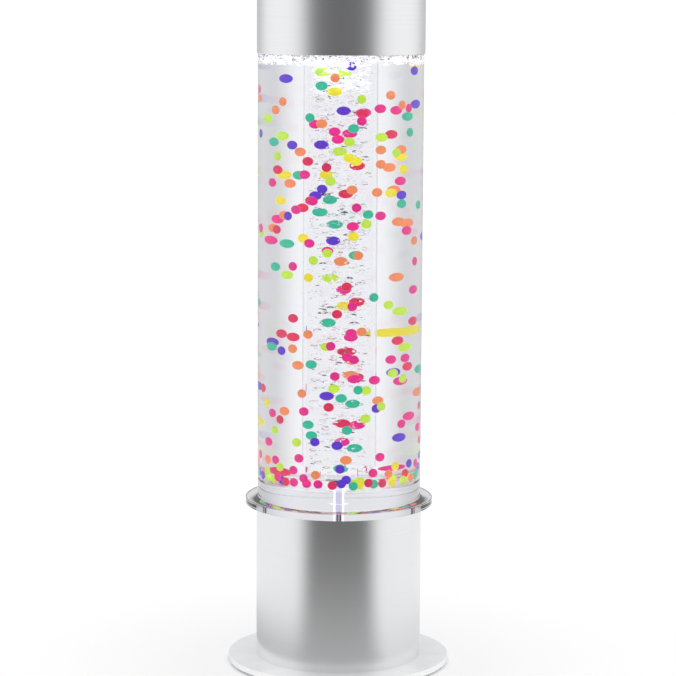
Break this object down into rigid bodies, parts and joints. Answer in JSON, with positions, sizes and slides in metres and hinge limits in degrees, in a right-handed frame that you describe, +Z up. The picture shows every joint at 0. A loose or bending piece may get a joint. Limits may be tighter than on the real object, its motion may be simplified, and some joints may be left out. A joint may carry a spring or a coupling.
{
  "type": "bubble tube floor lamp",
  "caption": "Lit clear tube of water with coloured beads that bubbles carry up a central riser, on a silver base between clear flange and pale foot plate, under a silver cap.",
  "frame": {"origin": "under the middle of the base, on the floor that the rubber feet stand on", "axes": "+Z up along the tube, +Y towards the back, where the power inlet and the switch are, +X to the right seen from the front"},
  "size_m": [0.204, 0.204, 0.7],
  "materials": {
    "acrylic_clear": "polished",
    "acrylic_white": "gloss",
    "water": "polished",
    "silver": "satin",
    "ring_metal": "satin",
    "screw_steel": "satin",
    "core_iron": "matte",
    "copper": "satin",
    "brass": "satin",
    "magnet": "satin",
    "black_rubber": "matte",
    "clear_hose": "satin",
    "black_plastic": "satin",
    "grey_plastic": "matte",
    "white_plastic": "matte",
    "green_plastic": "matte",
    "board_green": "satin",
    "board_white": "satin",
    "led": "gloss",
    "bead_pink": "gloss",
    "bead_red": "gloss",
    "bead_orange": "gloss",
    "bead_yellow": "gloss",
    "bead_lime": "gloss",
    "bead_teal": "gloss",
    "bead_violet": "gloss"
  },
  "bodies": {
    "base": {"foot_plate": "acrylic_white", "rubber_feet": "black_rubber", "foot_screws": "screw_steel", "lower_ring": "ring_metal", "casing": "silver", "upper_ring": "ring_metal", "flange_screws": "screw_steel", "flange": "acrylic_clear", "tank_floor": "acrylic_clear", "outer_tube": "acrylic_clear", "riser_tube": "acrylic_clear", "air_nozzle": "black_plastic", "nozzle_washer": "black_rubber", "led_board": "board_white", "led_emitters": "led", "led_standoffs": "white_plastic", "led_lead": "white_plastic", "check_valve_inlet": "white_plastic", "check_valve_outlet": "white_plastic", "check_valve_flap": "black_rubber", "hose_lower": "clear_hose", "hose_upper": "clear_hose", "pump_case": "grey_plastic", "pump_lid": "grey_plastic", "pump_lid_screws": "screw_steel", "pump_pads": "black_rubber", "pump_core": "core_iron", "pump_bobbin": "white_plastic", "pump_winding": "copper", "pump_pivot": "screw_steel", "pump_chamber": "grey_plastic", "pump_valves": "black_rubber", "pump_diaphragm": "black_rubber", "pump_lead": "black_rubber", "control_board": "board_green", "board_standoffs": "white_plastic", "board_terminals": "green_plastic", "board_parts": "black_plastic", "power_inlet": "black_plastic", "inlet_pin": "brass", "inlet_nut": "screw_steel", "inlet_lead": "black_rubber", "switch_housing": "black_plastic", "switch_terminals": "brass", "switch_lead": "black_rubber"},
    "cap": {"cap_shell": "silver", "cap_seat_ring": "ring_metal", "cap_pads": "black_rubber"},
    "rocker": {"switch_rocker": "black_plastic"},
    "arm": {"pump_arm": "white_plastic", "pump_magnet": "magnet"},
    "fill": {"water": "water", "beads_pink": "bead_pink", "beads_red": "bead_red", "beads_orange": "bead_orange", "beads_yellow": "bead_yellow", "beads_lime": "bead_lime", "beads_teal": "bead_teal", "beads_violet": "bead_violet"}
  },
  "joints": [
    {"name": "cap_lift", "type": "slide", "parent": "base", "child": "cap", "axis": [0, 0, 1], "range_m": [0, 0.12]},
    {"name": "switch_rock", "type": "hinge", "parent": "base", "child": "rocker", "pos_m": [0, 0.075, 0.06], "axis": [1, 0, 0], "range_deg": [-14, 0]},
    {"name": "pump_arm_rock", "type": "hinge", "parent": "base", "child": "arm", "pos_m": [0.034, -0.024, 0.029], "axis": [0, 0, 1], "range_deg": [-1.5, 1.5], "stiffness_Nm_per_rad": 0.05, "deforming": ["pump_diaphragm"]},
    {"name": "bead_swirl", "type": "hinge", "parent": "base", "child": "fill", "pos_m": [0, 0, 0.3], "axis": [0, 0, 1], "continuous": true}
  ]
}
